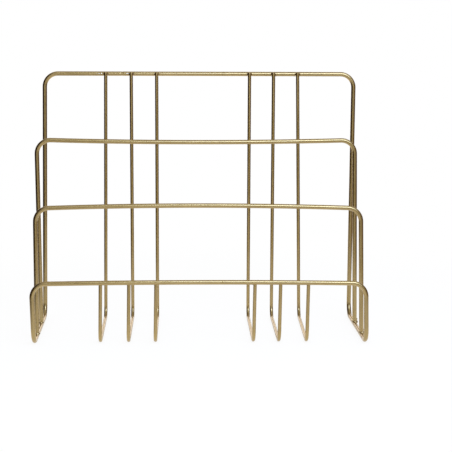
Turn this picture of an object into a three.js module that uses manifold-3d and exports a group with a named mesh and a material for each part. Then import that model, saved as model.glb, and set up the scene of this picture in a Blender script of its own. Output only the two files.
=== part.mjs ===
// Wire letter rack. One endless wire makes the tall back hoop, the two runners on the floor and the low
// front hoop. Two more hoops stand on the runners, and six thinner rods come down the back, cross the
// floor and rise to the front rail. Every joint is a weld.
// Millimetres, +Z up, +X to the right and -Y to the front. The origin is on the floor, midway between the
// outsides of the rack. All wire routes run along the middle of the wire.
import * as THREE from "three";
import { mergeVertices } from "three/addons/utils/BufferGeometryUtils.js";
import Module from "manifold-3d";

// Overall size over the wire
const WIDTH = 250;
const DEPTH = 100;

// Height of each hoop over the wire, at the ends of its top rail
const BACK_HEIGHT = 198;
const THIRD_HEIGHT = 148.5;
const SECOND_HEIGHT = 101;
const FRONT_HEIGHT = 48.5;

// Place of the two middle hoops, from the middle of the back wire to the middle of theirs
const THIRD_FROM_BACK = 34.25;
const SECOND_FROM_BACK = 70.75;

// Wire gauges, and the bending radius at the middle of the wire
const FRAME_WIRE = 3.5;
const ROD_WIRE = 2.7;
const FRAME_BEND = 10.5;
const ROD_BEND = 9;

// The rack is bent by hand. A lean is how far the top of a hoop stands to the right of its feet, a pinch
// is how much narrower the top is, and a rise is how far the rail curves up in the middle.
const BACK_LEAN = 1.7;
const BACK_PINCH = 2.4;
const THIRD_LEAN = -1.9;
const THIRD_PINCH = 1.3;
const THIRD_RISE = -1.5;
const SECOND_LEAN = -1;
const SECOND_PINCH = 2.5;
const SECOND_RISE = 1.8;
const FRONT_LEAN = -1.1;
const FRONT_RISE = 0.9;
const FRONT_FEET_OFFSET = 1.4; // the front feet stand this far to the right of the back feet

// Rods: two groups of three, evenly spaced. A splay is how far the outermost rod of a group stands out at
// its back foot.
const RODS_PER_GROUP = 3;
const LEFT_ROD_PITCH = 20;
const RIGHT_ROD_PITCH = 19;
const LEFT_GROUP_X = -53;
const RIGHT_GROUP_X = 59.2;
const LEFT_ROD_SPLAY = 1.8;
const RIGHT_ROD_SPLAY = 3.3;
const FRONT_ROD_LEAN = 0.7; // the front ends stand this far to the right of the front bends
const BACK_ROD_TIP = 1.2; // cut end above the middle of the back rail
const FRONT_ROD_TIP = 0.8; // cut end above the middle of the front rail

// Welds: a bead round each crossing of rod and rail, and a fillet round each foot of the middle hoops
const CLEARANCE = 0.3;
const BEAD_WIDTH = 4.4;
const BEAD_HEIGHT = 3.3;
const BEAD_DEPTH = 2.2;
const FILLET_WIDTH = 0.7;
const FILLET_HEIGHT = 1.8;
const FILLET_DROP = 1.2;

// Fineness of the faceted surfaces
const WIRE_SIDES = 12;
const BEND_STEPS = 6;
const RAIL_STEPS = 8;
const BEAD_SIDES = 12;
const BEAD_RINGS = 8;

// Places that follow from the sizes above
const HALF_WIDTH = (WIDTH - FRAME_WIRE) / 2;
const BACK_Y = (DEPTH - FRAME_WIRE) / 2;
const FRONT_Y = -BACK_Y;
const THIRD_Y = BACK_Y - THIRD_FROM_BACK;
const SECOND_Y = BACK_Y - SECOND_FROM_BACK;
const RUNNER_Z = FRAME_WIRE / 2;
const FOOT_Z = FRAME_WIRE + CLEARANCE;
const ROD_Z = ROD_WIRE / 2;
const CROSSING = (FRAME_WIRE + ROD_WIRE) / 2 + CLEARANCE;
const BACK_ROD_Y = BACK_Y - CROSSING;
const FRONT_ROD_Y = FRONT_Y + CROSSING;

const Y_AXIS = new THREE.Vector3(0, 1, 0);
const Z_AXIS = new THREE.Vector3(0, 0, 1);
const NEARLY_UPRIGHT = 0.99;
const FACET = Math.PI / WIRE_SIDES;

const wasm = await Module();
wasm.setup();

// Finishes
function brass(color, roughness) {
  return new THREE.MeshStandardMaterial({ color, roughness, metalness: 1 });
}

const frameBrass = () => brass(0xa8905a, 0.32);
const rodBrass = () => brass(0x9c8450, 0.34);
const weldBrass = () => brass(0x7d6236, 0.5);

// A round bend from one straight direction to the next, with the sharp corner of the two given
class Bend extends THREE.Curve {
  constructor(corner, from, to, radius) {
    super();
    this.from = from;
    this.radius = radius;
    this.turn = from.angleTo(to);
    this.reach = radius * Math.tan(this.turn / 2);
    this.inward = to.clone().addScaledVector(from, -to.dot(from)).normalize();
    this.centre = corner.clone().addScaledVector(from, -this.reach);
    this.centre.addScaledVector(this.inward, radius);
  }

  getPoint(t, target = new THREE.Vector3()) {
    const angle = t * this.turn;
    return target
      .copy(this.centre)
      .addScaledVector(this.inward, -this.radius * Math.cos(angle))
      .addScaledVector(this.from, this.radius * Math.sin(angle));
  }

  getTangent(t, target = new THREE.Vector3()) {
    const angle = t * this.turn;
    target.set(0, 0, 0);
    target.addScaledVector(this.from, Math.cos(angle));
    return target.addScaledVector(this.inward, Math.sin(angle));
  }
}

function direction(from, to) {
  return to.clone().sub(from).normalize();
}

// A stretch between two bends: straight, or curved up in the middle by its rise
function stretch(start, end, rise) {
  if (!rise) return new THREE.LineCurve3(start, end);
  const middle = start.clone().lerp(end, 0.5).addScaledVector(Z_AXIS, 2 * rise);
  return new THREE.QuadraticBezierCurve3(start, middle, end);
}

// The route of a bent wire through its sharp corners. A corner may name the rise of the stretch after it.
function wireRoute(corners, radius, closed) {
  const points = corners.map((corner) => corner.at);
  const count = points.length;
  const next = (i) => points[(i + 1) % count];
  const previous = (i) => points[(i + count - 1) % count];
  const bends = points.map((point, i) => {
    const isEnd = !closed && (i === 0 || i === count - 1);
    if (isEnd) return null;
    return new Bend(point, direction(previous(i), point), direction(point, next(i)), radius);
  });
  const route = new THREE.CurvePath();
  for (let i = 0; i < (closed ? count : count - 1); i++) {
    const after = (i + 1) % count;
    const start = bends[i] ? bends[i].getPoint(1) : points[i];
    const end = bends[after] ? bends[after].getPoint(0) : points[after];
    route.add(stretch(start, end, corners[i].rise));
    if (bends[after]) route.add(bends[after]);
  }
  return route;
}

function stepsOf(curve) {
  if (curve instanceof Bend) return BEND_STEPS;
  return curve instanceof THREE.QuadraticBezierCurve3 ? RAIL_STEPS : 1;
}

// Points along the route with the wire's direction at each
function stationsAlong(route, closed) {
  const first = route.curves[0];
  const stations = [{ point: first.getPoint(0), tangent: first.getTangent(0) }];
  for (const curve of route.curves) {
    const steps = stepsOf(curve);
    for (let i = 1; i <= steps; i++) {
      stations.push({ point: curve.getPoint(i / steps), tangent: curve.getTangent(i / steps) });
    }
  }
  if (closed) stations.pop();
  return stations;
}

// Which of the spokes carries on the line of a spoke of the station before
function matchingSpoke(spokes, spoke, tangent) {
  const carried = spoke.clone().addScaledVector(tangent, -spoke.dot(tangent));
  const closeness = spokes.map((candidate) => candidate.dot(carried));
  return closeness.indexOf(Math.max(...closeness));
}

// Directions from the middle of the wire to the corners of its section, with a flat facing the floor
function spokesAt(tangent, spokeBefore) {
  const up = Math.abs(tangent.z) > NEARLY_UPRIGHT ? Y_AXIS : Z_AXIS;
  const normal = up.clone().addScaledVector(tangent, -up.dot(tangent)).normalize();
  const side = tangent.clone().cross(normal);
  const spokes = Array.from({ length: WIRE_SIDES }, (_, i) => {
    const angle = (2 * i + 1) * FACET;
    return normal.clone().multiplyScalar(Math.cos(angle)).addScaledVector(side, Math.sin(angle));
  });
  const first = spokeBefore ? matchingSpoke(spokes, spokeBefore, tangent) : 0;
  return spokes.map((_, i) => spokes[(i + first) % WIRE_SIDES]);
}

// The solid of a wire along its route. Its flats lie at the wire's own radius.
function wireSolid(route, diameter, closed = false) {
  const stations = stationsAlong(route, closed);
  const cornerRadius = diameter / 2 / Math.cos(FACET);
  const positions = [];
  const firstSpokes = [];
  for (const { point, tangent } of stations) {
    const spokes = spokesAt(tangent, firstSpokes.at(-1));
    firstSpokes.push(spokes[0]);
    for (const spoke of spokes) {
      positions.push(...point.clone().addScaledVector(spoke, cornerRadius));
    }
  }
  const faces = [];
  const joinRings = (ringA, ringB, turn) => {
    for (let i = 0; i < WIRE_SIDES; i++) {
      const a = ringA * WIRE_SIDES + i;
      const b = ringA * WIRE_SIDES + ((i + 1) % WIRE_SIDES);
      const c = ringB * WIRE_SIDES + ((i + turn) % WIRE_SIDES);
      const d = ringB * WIRE_SIDES + ((i + 1 + turn) % WIRE_SIDES);
      faces.push(a, b, c, b, d, c);
    }
  };
  const last = stations.length - 1;
  for (let ring = 0; ring < last; ring++) joinRings(ring, ring + 1, 0);
  if (closed) {
    const spokes = spokesAt(stations[0].tangent, null);
    joinRings(last, 0, matchingSpoke(spokes, firstSpokes[last], stations[0].tangent));
  } else {
    for (let i = 1; i < WIRE_SIDES - 1; i++) {
      faces.push(0, i + 1, i);
      faces.push(last * WIRE_SIDES, last * WIRE_SIDES + i, last * WIRE_SIDES + i + 1);
    }
  }
  return geometryOf(new Float32Array(positions), faces);
}

function geometryOf(positions, faces) {
  const geometry = new THREE.BufferGeometry();
  geometry.setAttribute("position", new THREE.BufferAttribute(positions, 3));
  geometry.setIndex(faces);
  geometry.computeVertexNormals();
  return geometry;
}

// Joining and cutting of closed solids
function solidOf(geometry) {
  const bare = geometry.clone();
  bare.deleteAttribute("normal");
  bare.deleteAttribute("uv");
  const merged = mergeVertices(bare, 1e-4);
  const vertProperties = merged.attributes.position.array;
  const triVerts = new Uint32Array(merged.index.array);
  return new wasm.Manifold(new wasm.Mesh({ numProp: 3, vertProperties, triVerts }));
}

function cut(geometry, ...cutters) {
  const left = cutters.reduce((rest, cutter) => rest.subtract(solidOf(cutter)), solidOf(geometry));
  const { vertProperties, triVerts } = left.getMesh();
  return geometryOf(vertProperties, Array.from(triVerts));
}

// The room that a wire takes with its clearance, along Y, to cut a weld with
function wireRoom(diameter) {
  const radius = (diameter / 2 + CLEARANCE) / Math.cos(FACET);
  const length = 4 * diameter;
  return new THREE.CylinderGeometry(radius, radius, length, WIRE_SIDES, 1, false, FACET);
}

// The four hoops. Each gives the middle of its wire at the feet, on the runners, and at the top corners.
function hoop(y, height, { lean = 0, pinch = 0, rise = 0 }) {
  const railZ = height - FRAME_WIRE / 2;
  const feetShift = (-FRONT_FEET_OFFSET * y) / (BACK_Y - FRONT_Y);
  const side = (sign) => ({
    footX: sign * HALF_WIDTH + feetShift,
    topX: sign * (HALF_WIDTH - pinch / 2) + feetShift + lean,
  });
  return { y, railZ, rise, left: side(-1), right: side(1) };
}

const backHoop = hoop(BACK_Y, BACK_HEIGHT, { lean: BACK_LEAN, pinch: BACK_PINCH });
const thirdHoop = hoop(THIRD_Y, THIRD_HEIGHT, {
  lean: THIRD_LEAN,
  pinch: THIRD_PINCH,
  rise: THIRD_RISE,
});
const secondHoop = hoop(SECOND_Y, SECOND_HEIGHT, {
  lean: SECOND_LEAN,
  pinch: SECOND_PINCH,
  rise: SECOND_RISE,
});
const frontHoop = hoop(FRONT_Y, FRONT_HEIGHT, { lean: FRONT_LEAN, rise: FRONT_RISE });

// Height of the middle of a hoop's top rail at a place along it
function railHeight(ofHoop, x) {
  const start = ofHoop.left.topX + FRAME_BEND;
  const end = ofHoop.right.topX - FRAME_BEND;
  const t = (x - start) / (end - start);
  return ofHoop.railZ + 4 * ofHoop.rise * t * (1 - t);
}

function corner(x, y, z, rise = 0) {
  return { at: new THREE.Vector3(x, y, z), rise };
}

function outerFrame() {
  const { left: backLeft, right: backRight } = backHoop;
  const { left: frontLeft, right: frontRight } = frontHoop;
  const corners = [
    corner(backLeft.footX, BACK_Y, RUNNER_Z),
    corner(backLeft.topX, BACK_Y, backHoop.railZ, backHoop.rise),
    corner(backRight.topX, BACK_Y, backHoop.railZ),
    corner(backRight.footX, BACK_Y, RUNNER_Z),
    corner(frontRight.footX, FRONT_Y, RUNNER_Z),
    corner(frontRight.topX, FRONT_Y, frontHoop.railZ, frontHoop.rise),
    corner(frontLeft.topX, FRONT_Y, frontHoop.railZ),
    corner(frontLeft.footX, FRONT_Y, RUNNER_Z),
  ];
  const geometry = wireSolid(wireRoute(corners, FRAME_BEND, true), FRAME_WIRE, true);
  return named("outer_frame", geometry, frameBrass());
}

// A middle hoop, an inverted U whose cut ends stand on the runners
function middleHoop(name, { y, railZ, rise, left, right }) {
  const corners = [
    corner(left.footX, 0, FOOT_Z),
    corner(left.topX, 0, railZ, rise),
    corner(right.topX, 0, railZ),
    corner(right.footX, 0, FOOT_Z),
  ];
  const mesh = named(name, wireSolid(wireRoute(corners, FRAME_BEND, false), FRAME_WIRE), frameBrass());
  mesh.position.y = y;
  return mesh;
}

// The fillet round the foot of a middle hoop, shaped to the leg and to the runner that it stands on
function footWeld(name, x, y) {
  const inner = FRAME_WIRE / 2 + CLEARANCE;
  const top = FRAME_WIRE + FILLET_HEIGHT;
  const bottom = FRAME_WIRE - FILLET_DROP;
  const profile = [
    new THREE.Vector2(inner, bottom),
    new THREE.Vector2(inner + FILLET_WIDTH, bottom),
    new THREE.Vector2(inner + FILLET_WIDTH, FRAME_WIRE + CLEARANCE),
    new THREE.Vector2(inner + FILLET_WIDTH / 3, top),
    new THREE.Vector2(inner, top),
    new THREE.Vector2(inner, bottom),
  ];
  const ring = new THREE.LatheGeometry(profile, 2 * BEAD_SIDES).rotateX(Math.PI / 2);
  const runner = wireRoom(FRAME_WIRE).translate(0, 0, RUNNER_Z);
  const mesh = named(name, cut(ring, runner), weldBrass());
  mesh.position.set(x, y, 0);
  return mesh;
}

// The bead between a rod and a rail. The rod stands on the side of the rail that the sign gives along Y.
function rodWeld(name, x, rail, side) {
  const bead = new THREE.SphereGeometry(0.5, BEAD_SIDES, BEAD_RINGS);
  bead.scale(BEAD_WIDTH, BEAD_DEPTH, BEAD_HEIGHT);
  bead.translate(0, (side * (FRAME_WIRE + CLEARANCE)) / 2, 0);
  const railRoom = wireRoom(FRAME_WIRE).rotateZ(Math.PI / 2);
  const rodRoom = wireRoom(ROD_WIRE).rotateX(Math.PI / 2).translate(0, side * CROSSING, 0);
  const mesh = named(name, cut(bead, railRoom, rodRoom), weldBrass());
  mesh.position.set(x, rail.y, railHeight(rail, x));
  return mesh;
}

// One rod: down from the back rail, along the floor and up to the front rail
function rod(name, topX, footX, bendX, endX) {
  const corners = [
    corner(topX, BACK_ROD_Y, railHeight(backHoop, topX) + BACK_ROD_TIP),
    corner(footX, BACK_ROD_Y, ROD_Z),
    corner(bendX, FRONT_ROD_Y, ROD_Z),
    corner(endX, FRONT_ROD_Y, railHeight(frontHoop, endX) + FRONT_ROD_TIP),
  ];
  return named(name, wireSolid(wireRoute(corners, ROD_BEND, false), ROD_WIRE), rodBrass());
}

// A group of rods with their welds, counted from the left. The outward sign is -1 for the left group.
function rodGroup(prefix, outward, centreX, pitch, outermostSplay) {
  const group = new THREE.Group();
  const middle = (RODS_PER_GROUP - 1) / 2;
  for (let i = 0; i < RODS_PER_GROUP; i++) {
    const place = i - middle;
    const isOutermost = Math.sign(place) === outward && Math.abs(place) === middle;
    const splay = isOutermost ? outward * outermostSplay : 0;
    const topX = centreX + place * pitch;
    const bendX = topX + splay / 2;
    const endX = bendX + FRONT_ROD_LEAN;
    const name = `${prefix}_rod_${i + 1}`;
    group.add(rod(name, topX, topX + splay, bendX, endX));
    group.add(rodWeld(`weld_${name}_back`, topX, backHoop, -1));
    group.add(rodWeld(`weld_${name}_front`, endX, frontHoop, 1));
  }
  return group;
}

function named(name, geometry, material) {
  const mesh = new THREE.Mesh(geometry, material);
  mesh.name = name;
  return mesh;
}

const rack = new THREE.Group();
rack.add(outerFrame());
for (const [name, shape] of [["third_hoop", thirdHoop], ["second_hoop", secondHoop]]) {
  rack.add(middleHoop(name, shape));
  rack.add(footWeld(`weld_${name}_left`, shape.left.footX, shape.y));
  rack.add(footWeld(`weld_${name}_right`, shape.right.footX, shape.y));
}
rack.add(rodGroup("left", -1, LEFT_GROUP_X, LEFT_ROD_PITCH, LEFT_ROD_SPLAY));
rack.add(rodGroup("right", 1, RIGHT_GROUP_X, RIGHT_ROD_PITCH, RIGHT_ROD_SPLAY));

export default rack;
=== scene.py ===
import math

import bmesh
import bpy
from mathutils import Matrix, Vector, noise


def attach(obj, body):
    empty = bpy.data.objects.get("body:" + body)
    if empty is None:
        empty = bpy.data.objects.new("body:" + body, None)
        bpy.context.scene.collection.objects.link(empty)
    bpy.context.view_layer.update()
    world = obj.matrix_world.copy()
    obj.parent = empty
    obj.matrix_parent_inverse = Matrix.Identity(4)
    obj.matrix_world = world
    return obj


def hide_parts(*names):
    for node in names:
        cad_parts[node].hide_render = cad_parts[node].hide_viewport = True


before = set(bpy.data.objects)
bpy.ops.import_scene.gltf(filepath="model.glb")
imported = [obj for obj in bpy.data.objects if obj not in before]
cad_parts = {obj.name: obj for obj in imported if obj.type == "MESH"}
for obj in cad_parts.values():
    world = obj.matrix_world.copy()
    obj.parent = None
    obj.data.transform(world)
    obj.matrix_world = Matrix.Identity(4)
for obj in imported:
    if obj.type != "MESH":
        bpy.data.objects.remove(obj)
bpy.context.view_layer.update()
print("frame loaded:", len(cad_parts), "nodes")

mm = 0.001

# Sizes are in millimetres, as in the solids. A lean is how far the top of a hoop stands to the
# right of its feet, a pinch how much narrower the top is, and a rise how far the rail curves up in
# the middle. The front feet stand further right than the back ones by the feet offset.
frameWire = {
    "diameter": 3.5, "bendRadius": 10.5, "sides": 28, "halfWidth": 123.25, "feetOffset": 1.4,
}
backHoop = {"y": 48.25, "height": 198, "lean": 1.7, "pinch": 2.4, "rise": 0}
thirdHoop = {"y": 14, "height": 148.5, "lean": -1.9, "pinch": 1.3, "rise": -1.5}
secondHoop = {"y": -22.5, "height": 101, "lean": -1, "pinch": 2.5, "rise": 1.8}
frontHoop = {"y": -48.25, "height": 48.5, "lean": -1.1, "pinch": 0, "rise": 0.9}

# A rod's tips are how far its cut ends stand above the middle of the rails, and a splay is how far
# the outermost rod of a group stands out at its back foot
rodWire = {
    "diameter": 2.7, "bendRadius": 9, "sides": 24, "y": 44.85,
    "frontLean": 0.7, "backTip": 1.2, "frontTip": 0.8,
}
leftRods = {"count": 3, "centre": -53, "pitch": 20, "splay": 1.8, "outward": -1}
rightRods = {"count": 3, "centre": 59.2, "pitch": 19, "splay": 3.3, "outward": 1}

weldGap = 0.3  # left between two wires that are welded
runnerZ = frameWire["diameter"] / 2
footZ = frameWire["diameter"] + weldGap
crossing = (frameWire["diameter"] + rodWire["diameter"]) / 2 + weldGap


def setInputs(node, values):
    for socket, value in values.items():
        node.inputs[socket].default_value = value


def addNode(tree, kind, values=None, **settings):
    node = tree.nodes.new(kind)
    for name, value in settings.items():
        setattr(node, name, value)
    setInputs(node, values or {})
    return node


def addMath(tree, operation, first, second=None, third=None):
    node = addNode(tree, "ShaderNodeMath", operation=operation)
    for socket, value in zip(node.inputs, (first, second, third)):
        if isinstance(value, bpy.types.NodeSocket):
            tree.links.new(value, socket)
        elif value is not None:
            socket.default_value = value
    return node.outputs[0]


# Routes: sharp corners joined by round bends, with points about a millimetre apart

routeSteps = {"bend": 15, "spacing": 1.2}


def bendPoints(corner, before, after, radius):
    into = (corner - before).normalized()
    outOf = (after - corner).normalized()
    turn = into.angle(outOf)
    inward = (outOf - into * outOf.dot(into)).normalized()
    centre = corner - into * radius * math.tan(turn / 2) + inward * radius
    angles = [turn * i / routeSteps["bend"] for i in range(routeSteps["bend"] + 1)]
    return [centre + (into * math.sin(a) - inward * math.cos(a)) * radius for a in angles]


def bulge(rise, t):
    return 4 * rise * t * (1 - t)


def stretchPoints(start, end, rise):
    count = max(2, round((end - start).length / routeSteps["spacing"]))
    shares = [i / count for i in range(1, count)]
    return [start.lerp(end, t) + Vector((0, 0, bulge(rise, t))) for t in shares]


def wireRoute(corners, radius, closed=False):
    # A corner's fourth number is the rise of the stretch that starts there
    points = [Vector(corner[:3]) for corner in corners]
    rises = [corner[3] if len(corner) > 3 else 0 for corner in corners]
    count = len(points)
    parts = []
    for i, point in enumerate(points):
        isEnd = not closed and i in (0, count - 1)
        around = points[i - 1], points[(i + 1) % count]
        parts.append([point] if isEnd else bendPoints(point, *around, radius))
    route = []
    for i, part in enumerate(parts):
        route += part
        if closed or i < count - 1:
            route += stretchPoints(part[-1], parts[(i + 1) % count][0], rises[i])
    return route


def hoopCorners(hoop, feetZ):
    offset = -frameWire["feetOffset"] * hoop["y"] / (2 * backHoop["y"])
    railZ = hoop["height"] - frameWire["diameter"] / 2
    corners = []
    for sign in (-1, 1):
        footX = sign * frameWire["halfWidth"] + offset
        topX = footX - sign * hoop["pinch"] / 2 + hoop["lean"]
        corners.append([(footX, hoop["y"], feetZ), (topX, hoop["y"], railZ)])
    (leftFoot, leftTop), (rightFoot, rightTop) = corners
    return [leftFoot, (*leftTop, hoop["rise"]), rightTop, rightFoot]


def railHeight(hoop, x):
    _, leftTop, rightTop, _ = hoopCorners(hoop, 0)
    start = leftTop[0] + frameWire["bendRadius"]
    end = rightTop[0] - frameWire["bendRadius"]
    return leftTop[2] + bulge(hoop["rise"], (x - start) / (end - start))


def rodPlaces(rods):
    middle = (rods["count"] - 1) / 2
    for i in range(rods["count"]):
        place = i - middle
        isOutermost = place * rods["outward"] == middle
        splay = rods["outward"] * rods["splay"] if isOutermost else 0
        topX = rods["centre"] + place * rods["pitch"]
        bendX = topX + splay / 2
        yield {
            "top": topX, "foot": topX + splay, "bend": bendX, "end": bendX + rodWire["frontLean"],
        }


def rodRoute(place):
    y, z = rodWire["y"], rodWire["diameter"] / 2
    backEnd = railHeight(backHoop, place["top"]) + rodWire["backTip"]
    frontEnd = railHeight(frontHoop, place["end"]) + rodWire["frontTip"]
    corners = [
        (place["top"], y, backEnd),
        (place["foot"], y, z),
        (place["bend"], -y, z),
        (place["end"], -y, frontEnd),
    ]
    return wireRoute(corners, rodWire["bendRadius"])


# Meshes that the node trees work on. A gauge is the wire's thickness there, as a share of its own.

cutEnd = {"reach": (0, 0.08, 0.2, 0.36, 0.6), "gauge": (0.74, 0.87, 0.95, 0.99, 1)}
buttSeam = {"x": -60.4, "halfWidth": 1.2, "neck": 0.94, "heatDepth": 0.9}


def meshObject(name, points, edges=(), faces=()):
    mesh = bpy.data.meshes.new(name)
    mesh.from_pydata([Vector(point) * mm for point in points], edges, faces)
    piece = bpy.data.objects.new(name, mesh)
    bpy.context.scene.collection.objects.link(piece)
    return piece


def roundedEnds(route):
    # Extra points at both cut ends, where the wire's edge is rounded over
    ends = []
    for end, inside in ((route[0], route[1]), (route[-1], route[-2])):
        towards = (inside - end).normalized()
        ends.append([end + towards * reach for reach in cutEnd["reach"]])
    gauge = list(cutEnd["gauge"])
    gauges = gauge + [1.0] * (len(route) - 2) + gauge[::-1]
    return ends[0] + route[1:-1] + ends[1][::-1], gauges


def seamGauge(point):
    # The frame's wire has a slight neck where its two ends were joined, on the back rail
    onRail = point.y > 0 and point.z > backHoop["height"] / 2
    fromSeam = abs(point.x - buttSeam["x"]) / buttSeam["halfWidth"]
    if not onRail or fromSeam >= 1:
        return 1.0
    return 1 - (1 - buttSeam["neck"]) * math.cos(fromSeam * math.pi / 2) ** 2


def routeObject(name, route, closed):
    if closed:
        gauges = [seamGauge(point) for point in route]
    else:
        route, gauges = roundedEnds(route)
    edges = [(i, i + 1) for i in range(len(route) - 1)]
    if closed:
        edges.append((len(route) - 1, 0))
    piece = meshObject(name, route, edges)
    attribute = piece.data.attributes.new("gauge", "FLOAT", "POINT")
    attribute.data.foreach_set("value", gauges)
    return piece


# Geometry Nodes

def newTree(name, sockets):
    tree = bpy.data.node_groups.new(name, "GeometryNodeTree")
    tree.interface.new_socket("Geometry", in_out="INPUT", socket_type="NodeSocketGeometry")
    for socketName, kind, value in sockets:
        socket = tree.interface.new_socket(socketName, in_out="INPUT", socket_type=kind)
        if value is not None:
            socket.default_value = value
    tree.interface.new_socket("Geometry", in_out="OUTPUT", socket_type="NodeSocketGeometry")
    return tree, tree.nodes.new("NodeGroupInput"), tree.nodes.new("NodeGroupOutput")


def finishTree(tree, geometry, source, output):
    realize = addNode(tree, "GeometryNodeRealizeInstances")
    setFinish = addNode(tree, "GeometryNodeSetMaterial")
    tree.links.new(geometry, realize.inputs["Geometry"])
    tree.links.new(realize.outputs["Geometry"], setFinish.inputs["Geometry"])
    tree.links.new(source.outputs["Finish"], setFinish.inputs["Material"])
    tree.links.new(setFinish.outputs["Geometry"], output.inputs["Geometry"])


def storeAttribute(tree, geometry, name, value, kind="FLOAT"):
    store = addNode(tree, "GeometryNodeStoreNamedAttribute", {"Name": name}, data_type=kind)
    tree.links.new(geometry, store.inputs["Geometry"])
    tree.links.new(value, store.inputs["Value"])
    return store.outputs["Geometry"]


def readAttribute(tree, name):
    return addNode(tree, "GeometryNodeInputNamedAttribute", {"Name": name}).outputs["Attribute"]


def bentWireTree():
    tree, source, output = newTree("bentWire", [
        ("Wire Diameter", "NodeSocketFloat", 0.0035),
        ("Sides", "NodeSocketInt", 24),
        ("Weld Places", "NodeSocketObject", None),
        ("Heat Reach", "NodeSocketFloat", 0.004),
        ("Finish", "NodeSocketMaterial", None),
    ])
    link = tree.links.new
    path = addNode(tree, "GeometryNodeMeshToCurve")
    link(source.outputs["Geometry"], path.inputs["Mesh"])
    alongPath = addNode(tree, "GeometryNodeSplineParameter").outputs["Length"]
    tangent = addNode(tree, "GeometryNodeInputTangent").outputs["Tangent"]
    route = storeAttribute(tree, path.outputs["Curve"], "along", alongPath)
    route = storeAttribute(tree, route, "heading", tangent, "FLOAT_VECTOR")
    radius = addMath(tree, "MULTIPLY", source.outputs["Wire Diameter"], 0.5)
    circle = addNode(tree, "GeometryNodeCurvePrimitiveCircle")
    link(source.outputs["Sides"], circle.inputs["Resolution"])
    link(radius, circle.inputs["Radius"])
    roundCircle = addNode(tree, "GeometryNodeSplineParameter").outputs["Factor"]
    section = storeAttribute(tree, circle.outputs["Curve"], "around", roundCircle)
    sweep = addNode(tree, "GeometryNodeCurveToMesh", {"Fill Caps": True})
    link(route, sweep.inputs["Curve"])
    link(section, sweep.inputs["Profile Curve"])
    link(readAttribute(tree, "gauge"), sweep.inputs["Scale"])

    # Coordinates that run round and along the wire, for the drawing lines
    angle = addMath(tree, "MULTIPLY", readAttribute(tree, "around"), math.tau)
    place = addNode(tree, "ShaderNodeCombineXYZ")
    link(addMath(tree, "MULTIPLY", addMath(tree, "COSINE", angle), radius), place.inputs["X"])
    link(addMath(tree, "MULTIPLY", addMath(tree, "SINE", angle), radius), place.inputs["Y"])
    link(readAttribute(tree, "along"), place.inputs["Z"])
    wire = storeAttribute(
        tree, sweep.outputs["Mesh"], "wireSpace", place.outputs["Vector"], "FLOAT_VECTOR"
    )

    # How near a weld is: one at the weld, nought past the reach of its heat
    welds = addNode(tree, "GeometryNodeObjectInfo")
    link(source.outputs["Weld Places"], welds.inputs["Object"])
    nearest = addNode(tree, "GeometryNodeProximity", target_element="POINTS")
    link(welds.outputs["Geometry"], nearest.inputs["Target"])
    ratio = addMath(tree, "DIVIDE", nearest.outputs["Distance"], source.outputs["Heat Reach"])
    cooled = addNode(tree, "ShaderNodeMath", {0: 1}, operation="SUBTRACT", use_clamp=True)
    link(ratio, cooled.inputs[1])
    wire = storeAttribute(tree, wire, "heat", cooled.outputs[0])
    smooth = addNode(tree, "GeometryNodeSetShadeSmooth")
    link(wire, smooth.inputs["Geometry"])
    finishTree(tree, smooth.outputs["Geometry"], source, output)
    return tree


def weldRowTree():
    tree, source, output = newTree("weldRow", [
        ("Bead", "NodeSocketObject", None),
        ("Unevenness", "NodeSocketFloat", 0.06),
        ("Tilt", "NodeSocketFloat", 0.12),
        ("Seed", "NodeSocketInt", 7),
        ("Finish", "NodeSocketMaterial", None),
    ])
    link = tree.links.new
    bead = addNode(tree, "GeometryNodeObjectInfo", {"As Instance": True})
    link(source.outputs["Bead"], bead.inputs["Object"])
    # Sockets 2 and 3 are the least and most of a random number, 0 and 1 those of a random vector
    size = addNode(tree, "FunctionNodeRandomValue", {3: 1}, data_type="FLOAT")
    link(addMath(tree, "SUBTRACT", 1.0, source.outputs["Unevenness"]), size.inputs[2])
    link(source.outputs["Seed"], size.inputs["Seed"])
    tilt = addNode(tree, "FunctionNodeRandomValue", data_type="FLOAT_VECTOR")
    least = addNode(tree, "ShaderNodeCombineXYZ")
    most = addNode(tree, "ShaderNodeCombineXYZ")
    link(addMath(tree, "MULTIPLY", source.outputs["Tilt"], -1.0), least.inputs["Y"])
    link(source.outputs["Tilt"], most.inputs["Y"])
    link(least.outputs[0], tilt.inputs[0])
    link(most.outputs[0], tilt.inputs[1])
    link(source.outputs["Seed"], tilt.inputs["Seed"])
    rows = addNode(tree, "GeometryNodeInstanceOnPoints")
    link(source.outputs["Geometry"], rows.inputs["Points"])
    link(bead.outputs["Geometry"], rows.inputs["Instance"])
    link(tilt.outputs[0], rows.inputs["Rotation"])
    link(size.outputs[1], rows.inputs["Scale"])
    finishTree(tree, rows.outputs["Instances"], source, output)
    return tree


def evaluatedMesh(piece):
    bpy.context.view_layer.update()
    evaluated = piece.evaluated_get(bpy.context.evaluated_depsgraph_get())
    return bpy.data.meshes.new_from_object(evaluated)


def applyTree(piece, tree, values):
    modifier = piece.modifiers.new(tree.name, "NODES")
    modifier.node_group = tree
    for socket in tree.interface.items_tree:
        if socket.in_out == "INPUT" and socket.name in values:
            modifier[socket.identifier] = values[socket.name]
    mesh = evaluatedMesh(piece)
    piece.modifiers.remove(modifier)
    old = piece.data
    piece.data = mesh
    bpy.data.meshes.remove(old)


# Finishes

brassLook = {
    "light": (0.474, 0.35, 0.139), "deep": (0.41, 0.298, 0.107), "heated": (0.27, 0.175, 0.07),
    "roughness": 0.295, "anisotropic": 0.3,
}
rodLook = {
    "light": (0.5, 0.364, 0.138), "deep": (0.43, 0.306, 0.104), "heated": (0.27, 0.175, 0.068),
    "roughness": 0.31, "anisotropic": 0.58,
}
lacquer = {"Coat Weight": 1.0, "Coat IOR": 1.6, "Coat Roughness": 0.15}
edgeTint = (1.0, 0.86, 0.66)

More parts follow.
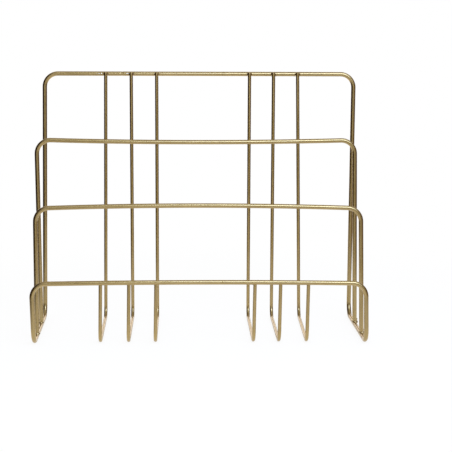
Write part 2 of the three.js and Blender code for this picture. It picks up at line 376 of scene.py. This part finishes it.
# Patterns of the wires. A blend is where a pattern's value starts and ends to tell, and duller is
# how much the pattern adds to the roughness.
drawingLines = {
    "round": 2200, "along": 70, "texture": {"Scale": 1, "Detail": 2, "Roughness": 0.55},
    "blend": (0.62, 0.36), "share": 0.45, "duller": 0.04,
    "relief": {"Strength": 0.035, "Distance": 0.00001},
}
clouds = {
    "texture": {"Scale": 48, "Detail": 3, "Roughness": 0.55}, "blend": (0.35, 0.68), "duller": 0.04,
}
fineSpecks = {"texture": {"Scale": 1400, "Detail": 2}, "duller": 0.02}
heatStain = {"blend": (0.1, 0.95), "duller": 0.15}

weldLook = {
    "light": (0.5, 0.38, 0.17), "deep": (0.4, 0.29, 0.125), "blend": (0.4, 0.62),
    "patches": {"Scale": 620, "Detail": 3, "Roughness": 0.6}, "roughness": 0.5, "duller": -0.3,
    "pits": {"Scale": 2600}, "relief": {"Strength": 0.3, "Distance": 0.00005},
}


def newFinish(name):
    finish = bpy.data.materials.new(name)
    finish.use_nodes = True
    return finish, finish.node_tree, finish.node_tree.nodes["Principled BSDF"]


def mixColours(tree, share, first, second):
    mix = addNode(tree, "ShaderNodeMix", data_type="RGBA")
    for socket, value in ((mix.inputs[0], share), (mix.inputs[6], first), (mix.inputs[7], second)):
        if isinstance(value, bpy.types.NodeSocket):
            tree.links.new(value, socket)
        elif isinstance(value, tuple):
            socket.default_value = (*value, 1)
        else:
            socket.default_value = value
    return mix.outputs[2]


def spread(tree, value, blend):
    node = addNode(tree, "ShaderNodeMapRange", {"From Min": blend[0], "From Max": blend[1]})
    node.interpolation_type = "SMOOTHSTEP"
    tree.links.new(value, node.inputs["Value"])
    return node.outputs["Result"]


def addTexture(tree, kind, vector, values, output):
    texture = addNode(tree, kind, values)
    tree.links.new(vector, texture.inputs["Vector"])
    return texture.outputs[output]


def addRelief(tree, shader, height, values):
    relief = addNode(tree, "ShaderNodeBump", values)
    tree.links.new(height, relief.inputs["Height"])
    tree.links.new(relief.outputs["Normal"], shader.inputs["Normal"])


def wireFinish(name, look):
    finish, tree, shader = newFinish(name)
    link = tree.links.new
    stretch = addNode(tree, "ShaderNodeVectorMath", operation="MULTIPLY")
    across, along = drawingLines["round"], drawingLines["along"]
    stretch.inputs[1].default_value = (across, across, along)
    wireSpace = addNode(tree, "ShaderNodeAttribute", attribute_name="wireSpace")
    link(wireSpace.outputs["Vector"], stretch.inputs[0])
    place = addNode(tree, "ShaderNodeTexCoord").outputs["Object"]
    heat = addNode(tree, "ShaderNodeAttribute", attribute_name="heat").outputs["Fac"]
    noiseKind = "ShaderNodeTexNoise"
    lines = addTexture(tree, noiseKind, stretch.outputs[0], drawingLines["texture"], "Fac")
    cloud = addTexture(tree, noiseKind, place, clouds["texture"], "Fac")
    specks = addTexture(tree, noiseKind, place, fineSpecks["texture"], "Fac")

    tone = mixColours(tree, spread(tree, cloud, clouds["blend"]), look["light"], look["deep"])
    lined = mixColours(tree, spread(tree, lines, drawingLines["blend"]), tone, look["deep"])
    halfLined = mixColours(tree, drawingLines["share"], tone, lined)
    heated = spread(tree, heat, heatStain["blend"])
    link(mixColours(tree, heated, halfLined, look["heated"]), shader.inputs["Base Color"])

    # The three textures lie round one half, so half of what they add comes off first
    patterns = ((lines, drawingLines), (cloud, clouds), (specks, fineSpecks))
    roughness = look["roughness"] - sum(pattern["duller"] for _, pattern in patterns) / 2
    for value, pattern in (*patterns, (heated, heatStain)):
        roughness = addMath(tree, "MULTIPLY_ADD", value, pattern["duller"], roughness)
    link(roughness, shader.inputs["Roughness"])
    addRelief(tree, shader, lines, drawingLines["relief"])
    heading = addNode(tree, "ShaderNodeAttribute", attribute_name="heading")
    link(heading.outputs["Vector"], shader.inputs["Tangent"])
    setInputs(shader, {
        "Metallic": 1, "Anisotropic": look["anisotropic"], "Specular Tint": (*edgeTint, 1),
        **lacquer,
    })
    return finish


def weldFinish(name, look):
    finish, tree, shader = newFinish(name)
    link = tree.links.new
    place = addNode(tree, "ShaderNodeTexCoord").outputs["Object"]
    patches = addTexture(tree, "ShaderNodeTexNoise", place, look["patches"], "Fac")
    pits = addTexture(tree, "ShaderNodeTexVoronoi", place, look["pits"], "Distance")
    share = spread(tree, patches, look["blend"])
    link(mixColours(tree, share, look["deep"], look["light"]), shader.inputs["Base Color"])
    roughness = addMath(tree, "MULTIPLY_ADD", patches, look["duller"], look["roughness"])
    link(roughness, shader.inputs["Roughness"])
    addRelief(tree, shader, pits, look["relief"])
    setInputs(shader, {"Metallic": 1, **lacquer})
    return finish


frameFinish = wireFinish("frameBrass", brassLook)
rodFinish = wireFinish("rodBrass", rodLook)
beadFinish = weldFinish("weldBrass", weldLook)
print("finishes made")

# Places of the welds. Their heat starts where two wires come nearest to each other, at a foot this
# far under the hoop's end, and fades out over its reach.

heatLook = {"reach": 4.2, "footDrop": 0.2}
rodGroups = {"left": list(rodPlaces(leftRods)), "right": list(rodPlaces(rightRods))}
allRods = rodGroups["left"] + rodGroups["right"]


def crossingsOn(hoop, end):
    return [(rod[end], hoop["y"], railHeight(hoop, rod[end])) for rod in allRods]


backCrossings = crossingsOn(backHoop, "top")
frontCrossings = crossingsOn(frontHoop, "end")
hoopFeet = []
for hoop in (thirdHoop, secondHoop):
    leftFoot, _, _, rightFoot = hoopCorners(hoop, 0)
    hoopFeet += [leftFoot, rightFoot]
betweenWires = (frameWire["diameter"] + weldGap) / 2
contacts = [(x, y - betweenWires, z) for x, y, z in backCrossings]
contacts += [(x, y + betweenWires, z) for x, y, z in frontCrossings]
contacts += [(x, y, footZ - heatLook["footDrop"]) for x, y, _ in hoopFeet]
seamY = backHoop["y"] - buttSeam["heatDepth"]
contacts.append((buttSeam["x"], seamY, railHeight(backHoop, buttSeam["x"])))
weldPlaces = meshObject("weldPlaces", contacts)

# Wires

bentWire = bentWireTree()


def dressWire(name, route, wire, finish, node, closed=False):
    piece = routeObject(name, route, closed)
    applyTree(piece, bentWire, {
        "Wire Diameter": wire["diameter"] * mm,
        "Sides": wire["sides"],
        "Weld Places": weldPlaces,
        "Heat Reach": heatLook["reach"] * mm,
        "Finish": finish,
    })
    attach(piece, "root")
    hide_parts(node)


def dressFrameWire(name, corners, node, closed=False):
    route = wireRoute(corners, frameWire["bendRadius"], closed)
    dressWire(name, route, frameWire, frameFinish, node, closed)


# The frame's route takes the front hoop from right to left, so the rise is on its right top corner
leftFoot, leftTop, rightTop, rightFoot = hoopCorners(frontHoop, runnerZ)
frontCorners = [rightFoot, (*rightTop, frontHoop["rise"]), leftTop[:3], leftFoot]
frameCorners = hoopCorners(backHoop, runnerZ) + frontCorners
dressFrameWire("outerFrameWire", frameCorners, "outer_frame", closed=True)
print("outer frame swept")

dressFrameWire("thirdHoopWire", hoopCorners(thirdHoop, footZ), "third_hoop")
dressFrameWire("secondHoopWire", hoopCorners(secondHoop, footZ), "second_hoop")
print("middle hoops swept")

for side, places in rodGroups.items():
    for i, place in enumerate(places, 1):
        route, node = rodRoute(place), f"{side}_rod_{i}"
        dressWire(f"{side}Rod{i}Wire", route, rodWire, rodFinish, node)
print("rods swept")

# Welds: a lump of molten metal that has crept into the corner between two wires. Each is made of
# ellipsoids, by centre and radii, and of stubs of its two wires, by centre, axis, wire and length.

rodBead = {
    "voxel": 0.15,
    "drops": [
        ((0, 1.9, -0.2), (2.15, 1.05, 1.5)),
        ((1.25, 1.55, -0.75), (0.75, 0.6, 0.65)),
        ((-1.35, 1.6, -0.6), (0.6, 0.6, 0.75)),
    ],
    "stubs": [
        ((0, 0, 0), (1, 0, 0), frameWire, 5.6),
        ((0, crossing, -0.9), (0, 0, 1), rodWire, 3.2),
    ],
}
footBead = {
    "voxel": 0.16,
    "drops": [
        ((0, 0, 3.45), (2.45, 2.5, 1.3)),
        ((1.0, -1.5, 3.3), (1.05, 0.9, 0.9)),
        ((-0.9, 1.5, 3.2), (1.1, 0.8, 0.8)),
    ],
    "stubs": [
        ((0, 0, 5.2), (0, 0, 1), frameWire, 2.6),
        ((0, 0, runnerZ), (0, 1, 0), frameWire, 6.6),
    ],
}
# A stub is a little thinner than its wire, so that the lump sinks into the wire's skin at its edge
weldSkin = {"stubInset": 0.07, "soften": 0.5, "passes": 7, "rippleScale": 1.1, "ripple": 0.12}


def addEllipsoid(bm, centre, radii):
    place = Matrix.Translation(centre) @ Matrix.Diagonal((*radii, 1))
    bmesh.ops.create_icosphere(bm, subdivisions=3, radius=1, matrix=place)


def addStub(bm, centre, axis, radius, length):
    turn = Vector((0, 0, 1)).rotation_difference(Vector(axis)).to_matrix().to_4x4()
    bmesh.ops.create_cone(
        bm, cap_ends=True, segments=24, radius1=radius, radius2=radius, depth=length,
        matrix=Matrix.Translation(centre) @ turn,
    )


def weldLump(name, bead, seed, side=1):
    # side is -1 where the rod stands in front of the rail, and 1 where it stands behind it
    bm = bmesh.new()
    for (x, y, z), radii in bead["drops"]:
        addEllipsoid(bm, (x, side * y, z), radii)
    for (x, y, z), axis, wire, length in bead["stubs"]:
        radius = wire["diameter"] / 2 - weldSkin["stubInset"]
        addStub(bm, (x, side * y, z), axis, radius, length)
    # The lump is made at a thousand times its size, remeshed into one skin and smoothed
    mesh = bpy.data.meshes.new(name)
    bm.to_mesh(mesh)
    bm.free()
    piece = bpy.data.objects.new(name, mesh)
    bpy.context.scene.collection.objects.link(piece)
    skin = piece.modifiers.new("skin", "REMESH")
    skin.mode = "VOXEL"
    skin.voxel_size = bead["voxel"]
    soften = piece.modifiers.new("soften", "SMOOTH")
    soften.factor = weldSkin["soften"]
    soften.iterations = weldSkin["passes"]
    lump = evaluatedMesh(piece)
    piece.modifiers.clear()
    for vertex in lump.vertices:
        ripple = noise.noise(vertex.co * weldSkin["rippleScale"] + Vector((seed, 0, 0)))
        vertex.co = (vertex.co + vertex.normal * ripple * weldSkin["ripple"]) * mm
    lump.shade_smooth()
    piece.data = lump
    return piece


weldRow = weldRowTree()


def dressWelds(name, places, lump, nodes, seed):
    piece = meshObject(name, places)
    applyTree(piece, weldRow, {"Bead": lump, "Seed": seed, "Finish": beadFinish})
    bpy.data.objects.remove(lump)
    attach(piece, "root")
    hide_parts(*nodes)
    return piece


# Specks of weld metal on the front of the back rail, and the flash left by the frame's own joint.
# A tilt is how far up the rail's round front a speck sits, in degrees.
railSpecks = [
    {"x": -76.4, "tilt": 6, "radii": (0.48, 0.22, 0.38)},
    {"x": -78.3, "tilt": 2, "radii": (0.36, 0.17, 0.3)},
    {"x": -80, "tilt": 5, "radii": (0.26, 0.14, 0.24)},
    {"x": -55.9, "tilt": 8, "radii": (1.5, 0.14, 0.3)},
]
speckSunk = 0.1  # depth of a speck's middle under the rail's skin


def addSpecks(piece):
    bm = bmesh.new()
    bm.from_mesh(piece.data)
    reach = frameWire["diameter"] / 2 - speckSunk
    for speck in railSpecks:
        tilt = math.radians(speck["tilt"])
        y = backHoop["y"] - reach * math.cos(tilt)
        z = railHeight(backHoop, speck["x"]) + reach * math.sin(tilt)
        radii = [radius * mm for radius in speck["radii"]]
        addEllipsoid(bm, Vector((speck["x"], y, z)) * mm, radii)
    bm.to_mesh(piece.data)
    bm.free()
    piece.data.shade_smooth()


def rodWeldNodes(end):
    return [f"weld_{side}_rod_{i}_{end}" for side in ("left", "right") for i in (1, 2, 3)]


backLump = weldLump("backLump", rodBead, seed=3, side=-1)
backWelds = dressWelds("backRodWelds", backCrossings, backLump, rodWeldNodes("back"), seed=5)
addSpecks(backWelds)
frontLump = weldLump("frontLump", rodBead, seed=8)
dressWelds("frontRodWelds", frontCrossings, frontLump, rodWeldNodes("front"), seed=9)
footNodes = [
    f"weld_{hoop}_hoop_{side}" for hoop in ("third", "second") for side in ("left", "right")
]
footLump = weldLump("footLump", footBead, seed=12)
dressWelds("footWelds", hoopFeet, footLump, footNodes, seed=2)
bpy.data.objects.remove(weldPlaces)
print("welds placed")

# Floor, softbox and world

# The size is in metres and the drop under the wires in millimetres. Shown is the share of plain
# white in the middle, where the rest keeps the rack's shadow, and over the fade it grows to one.
floorLook = {
    "size": 3.0, "drop": 0.02, "white": 0.9, "roughness": 0.9, "shown": 0.9, "fade": (0.22, 0.42),
}
# The pool of light painted on the floor, which only the metal mirrors, from its middle out
floorPool = {"colour": (0.9, 0.88, 0.85), "middle": (0.05, 0.0), "edge": (0.18, 0.38)}
# What the metal mirrors low down all round, from the back over the left, front and right sides
lowPanels = [
    (0.00, (1.6, 1.45, 1.3)), (0.036, (1.6, 1.45, 1.3)), (0.05, (0.08, 0.045, 0.025)),
    (0.30, (0.02, 0.01, 0.006)), (0.38, (0.04, 0.022, 0.013)), (0.45, (0.09, 0.06, 0.04)),
    (0.465, (1.0, 0.96, 0.85)), (0.495, (1.0, 0.96, 0.85)), (0.52, (0.38, 0.35, 0.29)),
    (0.59, (0.34, 0.31, 0.26)), (0.62, (0.25, 0.17, 0.11)), (0.86, (0.12, 0.075, 0.045)),
    (0.955, (0.1, 0.06, 0.035)), (0.967, (1.6, 1.45, 1.3)), (1.00, (1.6, 1.45, 1.3)),
]
# What it mirrors above, from the front up to the top and down to the back
highPanels = [
    (0.00, (0.5, 0.48, 0.46)), (0.25, (0.55, 0.53, 0.51)), (0.40, (0.56, 0.53, 0.48)),
    (0.58, (0.56, 0.53, 0.48)), (0.65, (0.45, 0.4, 0.36)), (0.80, (0.45, 0.4, 0.36)),
    (0.88, (1.0, 0.98, 0.95)), (1.00, (1.6, 1.45, 1.3)),
]
# How high the mirrored low panels reach, and how far aside of the middle they reach all the way up
studioLook = {"strength": 0.9, "lowTop": (0.1, 0.3), "sideMiddle": 0.12, "sides": (0.4, 0.75)}
# The azimuth is in degrees, to the right of the front, and the lengths are in metres
keySoftbox = {
    "azimuth": 22, "distance": 0.58, "height": 0.57, "aimHeight": 0.12,
    "width": 0.56, "depth": 0.45, "radiance": 3.5, "colour": (0.82, 1.02, 1.42),
}
plainWhite = (1.0, 1.0, 1.0)


def rampOf(tree, value, stops):
    ramp = addNode(tree, "ShaderNodeValToRGB")
    elements = ramp.color_ramp.elements
    for element, (position, colour) in zip(elements, (stops[0], stops[-1])):
        element.position = position
        element.color = (*colour, 1)
    for position, colour in stops[1:-1]:
        elements.new(position).color = (*colour, 1)
    tree.links.new(value, ramp.inputs["Fac"])
    return ramp.outputs["Color"]


def seenRays(tree):
    ray = addNode(tree, "ShaderNodeLightPath").outputs
    shown = addMath(tree, "ADD", ray["Is Camera Ray"], ray["Is Glossy Ray"])
    return addMath(tree, "ADD", shown, ray["Is Transmission Ray"]), ray["Is Glossy Ray"]


def lowColour(tree, x, y):
    forward = addMath(tree, "MULTIPLY", y, -1.0)
    angle = addMath(tree, "ARCTAN2", x, forward)
    return rampOf(tree, addMath(tree, "MULTIPLY_ADD", angle, 0.5 / math.pi, 0.5), lowPanels)


def mixInto(tree, share, first, second, output):
    mix = addNode(tree, "ShaderNodeMixShader")
    for socket, value in zip(mix.inputs, (share, first.outputs[0], second.outputs[0])):
        tree.links.new(value, socket)
    tree.links.new(mix.outputs[0], tree.nodes[output].inputs["Surface"])


def makeFloor():
    half = floorLook["size"] / 2 / mm
    corners = [(-half, -half), (half, -half), (half, half), (-half, half)]
    points = [(x, y, -floorLook["drop"]) for x, y in corners]
    floor = meshObject("floor", points, faces=[(0, 1, 2, 3)])
    finish, tree, shader = newFinish("floorPaper")
    white = floorLook["white"]
    setInputs(shader, {"Base Color": (white, white, white, 1), "Roughness": floorLook["roughness"]})
    place = addNode(tree, "ShaderNodeTexCoord")
    axes = addNode(tree, "ShaderNodeSeparateXYZ")
    fromMiddle = addNode(tree, "ShaderNodeVectorMath", operation="LENGTH")
    fromPool = addNode(tree, "ShaderNodeVectorMath", operation="DISTANCE")
    fromPool.inputs[1].default_value = (*floorPool["middle"], 0)
    for node in (axes, fromMiddle, fromPool):
        tree.links.new(place.outputs["Object"], node.inputs[0])
    # For glossy rays the floor glows with a painted pool of light in its middle, fading into
    # painted panels round it
    far = spread(tree, fromPool.outputs["Value"], floorPool["edge"])
    aroundFloor = lowColour(tree, axes.outputs["X"], axes.outputs["Y"])
    inMetal = mixColours(tree, far, floorPool["colour"], aroundFloor)
    seen, isGlossy = seenRays(tree)
    lit = addNode(tree, "ShaderNodeEmission", {"Strength": 1})
    tree.links.new(mixColours(tree, isGlossy, plainWhite, inMetal), lit.inputs["Color"])
    fade = spread(tree, fromMiddle.outputs["Value"], floorLook["fade"])
    shown = addMath(tree, "MULTIPLY_ADD", fade, 1 - floorLook["shown"], floorLook["shown"])
    mixInto(tree, addMath(tree, "MULTIPLY", seen, shown), shader, lit, "Material Output")
    floor.data.materials.append(finish)


def makeSoftbox():
    width, depth = keySoftbox["width"], keySoftbox["depth"]
    lamp = bpy.data.lights.new("keySoftbox", "AREA")
    lamp.shape = "RECTANGLE"
    lamp.size, lamp.size_y = width, depth
    lamp.energy = keySoftbox["radiance"] * math.pi * width * depth
    lamp.color = keySoftbox["colour"]
    azimuth = math.radians(keySoftbox["azimuth"])
    aim = Vector((0, 0, keySoftbox["aimHeight"]))
    place = Vector((math.sin(azimuth), -math.cos(azimuth), 0)) * keySoftbox["distance"]
    place.z = keySoftbox["height"]
    holder = bpy.data.objects.new("keySoftbox", lamp)
    holder.location = place
    holder.rotation_euler = (place - aim).to_track_quat("Z", "Y").to_euler()
    bpy.context.scene.collection.objects.link(holder)


def makeWorld():
    world = bpy.data.worlds.new("studio")
    world.use_nodes = True
    tree = world.node_tree
    soft = tree.nodes["Background"]
    setInputs(soft, {"Color": (*plainWhite, 1), "Strength": studioLook["strength"]})
    place = addNode(tree, "ShaderNodeTexCoord")
    axes = addNode(tree, "ShaderNodeSeparateXYZ")
    tree.links.new(place.outputs["Generated"], axes.inputs[0])
    x, y, z = (axes.outputs[name] for name in "XYZ")
    climb = addMath(tree, "ARCTAN2", z, addMath(tree, "MULTIPLY", y, -1.0))
    above = rampOf(tree, addMath(tree, "DIVIDE", climb, math.pi), highPanels)
    low = addMath(tree, "SUBTRACT", 1.0, spread(tree, z, studioLook["lowTop"]))
    fromSide = addMath(tree, "SUBTRACT", x, studioLook["sideMiddle"])
    aside = spread(tree, addMath(tree, "ABSOLUTE", fromSide), studioLook["sides"])
    lowShare = addMath(tree, "MAXIMUM", low, aside)
    panels = mixColours(tree, lowShare, above, lowColour(tree, x, y))
    seen, isGlossy = seenRays(tree)
    white = addNode(tree, "ShaderNodeBackground", {"Strength": 1})
    tree.links.new(mixColours(tree, isGlossy, plainWhite, panels), white.inputs["Color"])
    mixInto(tree, seen, soft, white, "World Output")
    bpy.context.scene.world = world


makeFloor()
makeSoftbox()
makeWorld()
print("floor, softbox and world made")

# Camera, at the photograph's angle. The place is in millimetres and the angles in radians.

cameraLook = {
    "place": (-12.04, -1001.5, 238.7), "pitch": 0.1551, "yaw": 0.03263, "roll": 0.00404,
    "focalPixels": 1320.0, "imagePixels": 452, "sensorWidth": 36, "nearest": 0.01, "farthest": 20,
}


def makeCamera():
    lens = bpy.data.cameras.new("camera")
    lens.sensor_width = cameraLook["sensorWidth"]
    lens.lens = cameraLook["focalPixels"] / cameraLook["imagePixels"] * cameraLook["sensorWidth"]
    lens.clip_start = cameraLook["nearest"]
    lens.clip_end = cameraLook["farthest"]
    camera = bpy.data.objects.new("camera", lens)
    pitch, yaw, roll = cameraLook["pitch"], cameraLook["yaw"], cameraLook["roll"]
    level = math.cos(pitch)
    ahead = Vector((math.sin(yaw) * level, math.cos(yaw) * level, -math.sin(pitch)))
    right = Vector((math.cos(yaw), -math.sin(yaw), 0))
    up = right.cross(ahead)
    turnedRight = right * math.cos(roll) + up * math.sin(roll)
    turnedUp = up * math.cos(roll) - right * math.sin(roll)
    turn = Matrix((turnedRight, turnedUp, -ahead)).transposed()
    camera.matrix_world = Matrix.Translation(Vector(cameraLook["place"]) * mm) @ turn.to_4x4()
    bpy.context.scene.collection.objects.link(camera)
    bpy.context.scene.camera = camera


makeCamera()
bpy.context.scene.view_settings.view_transform = "Standard"
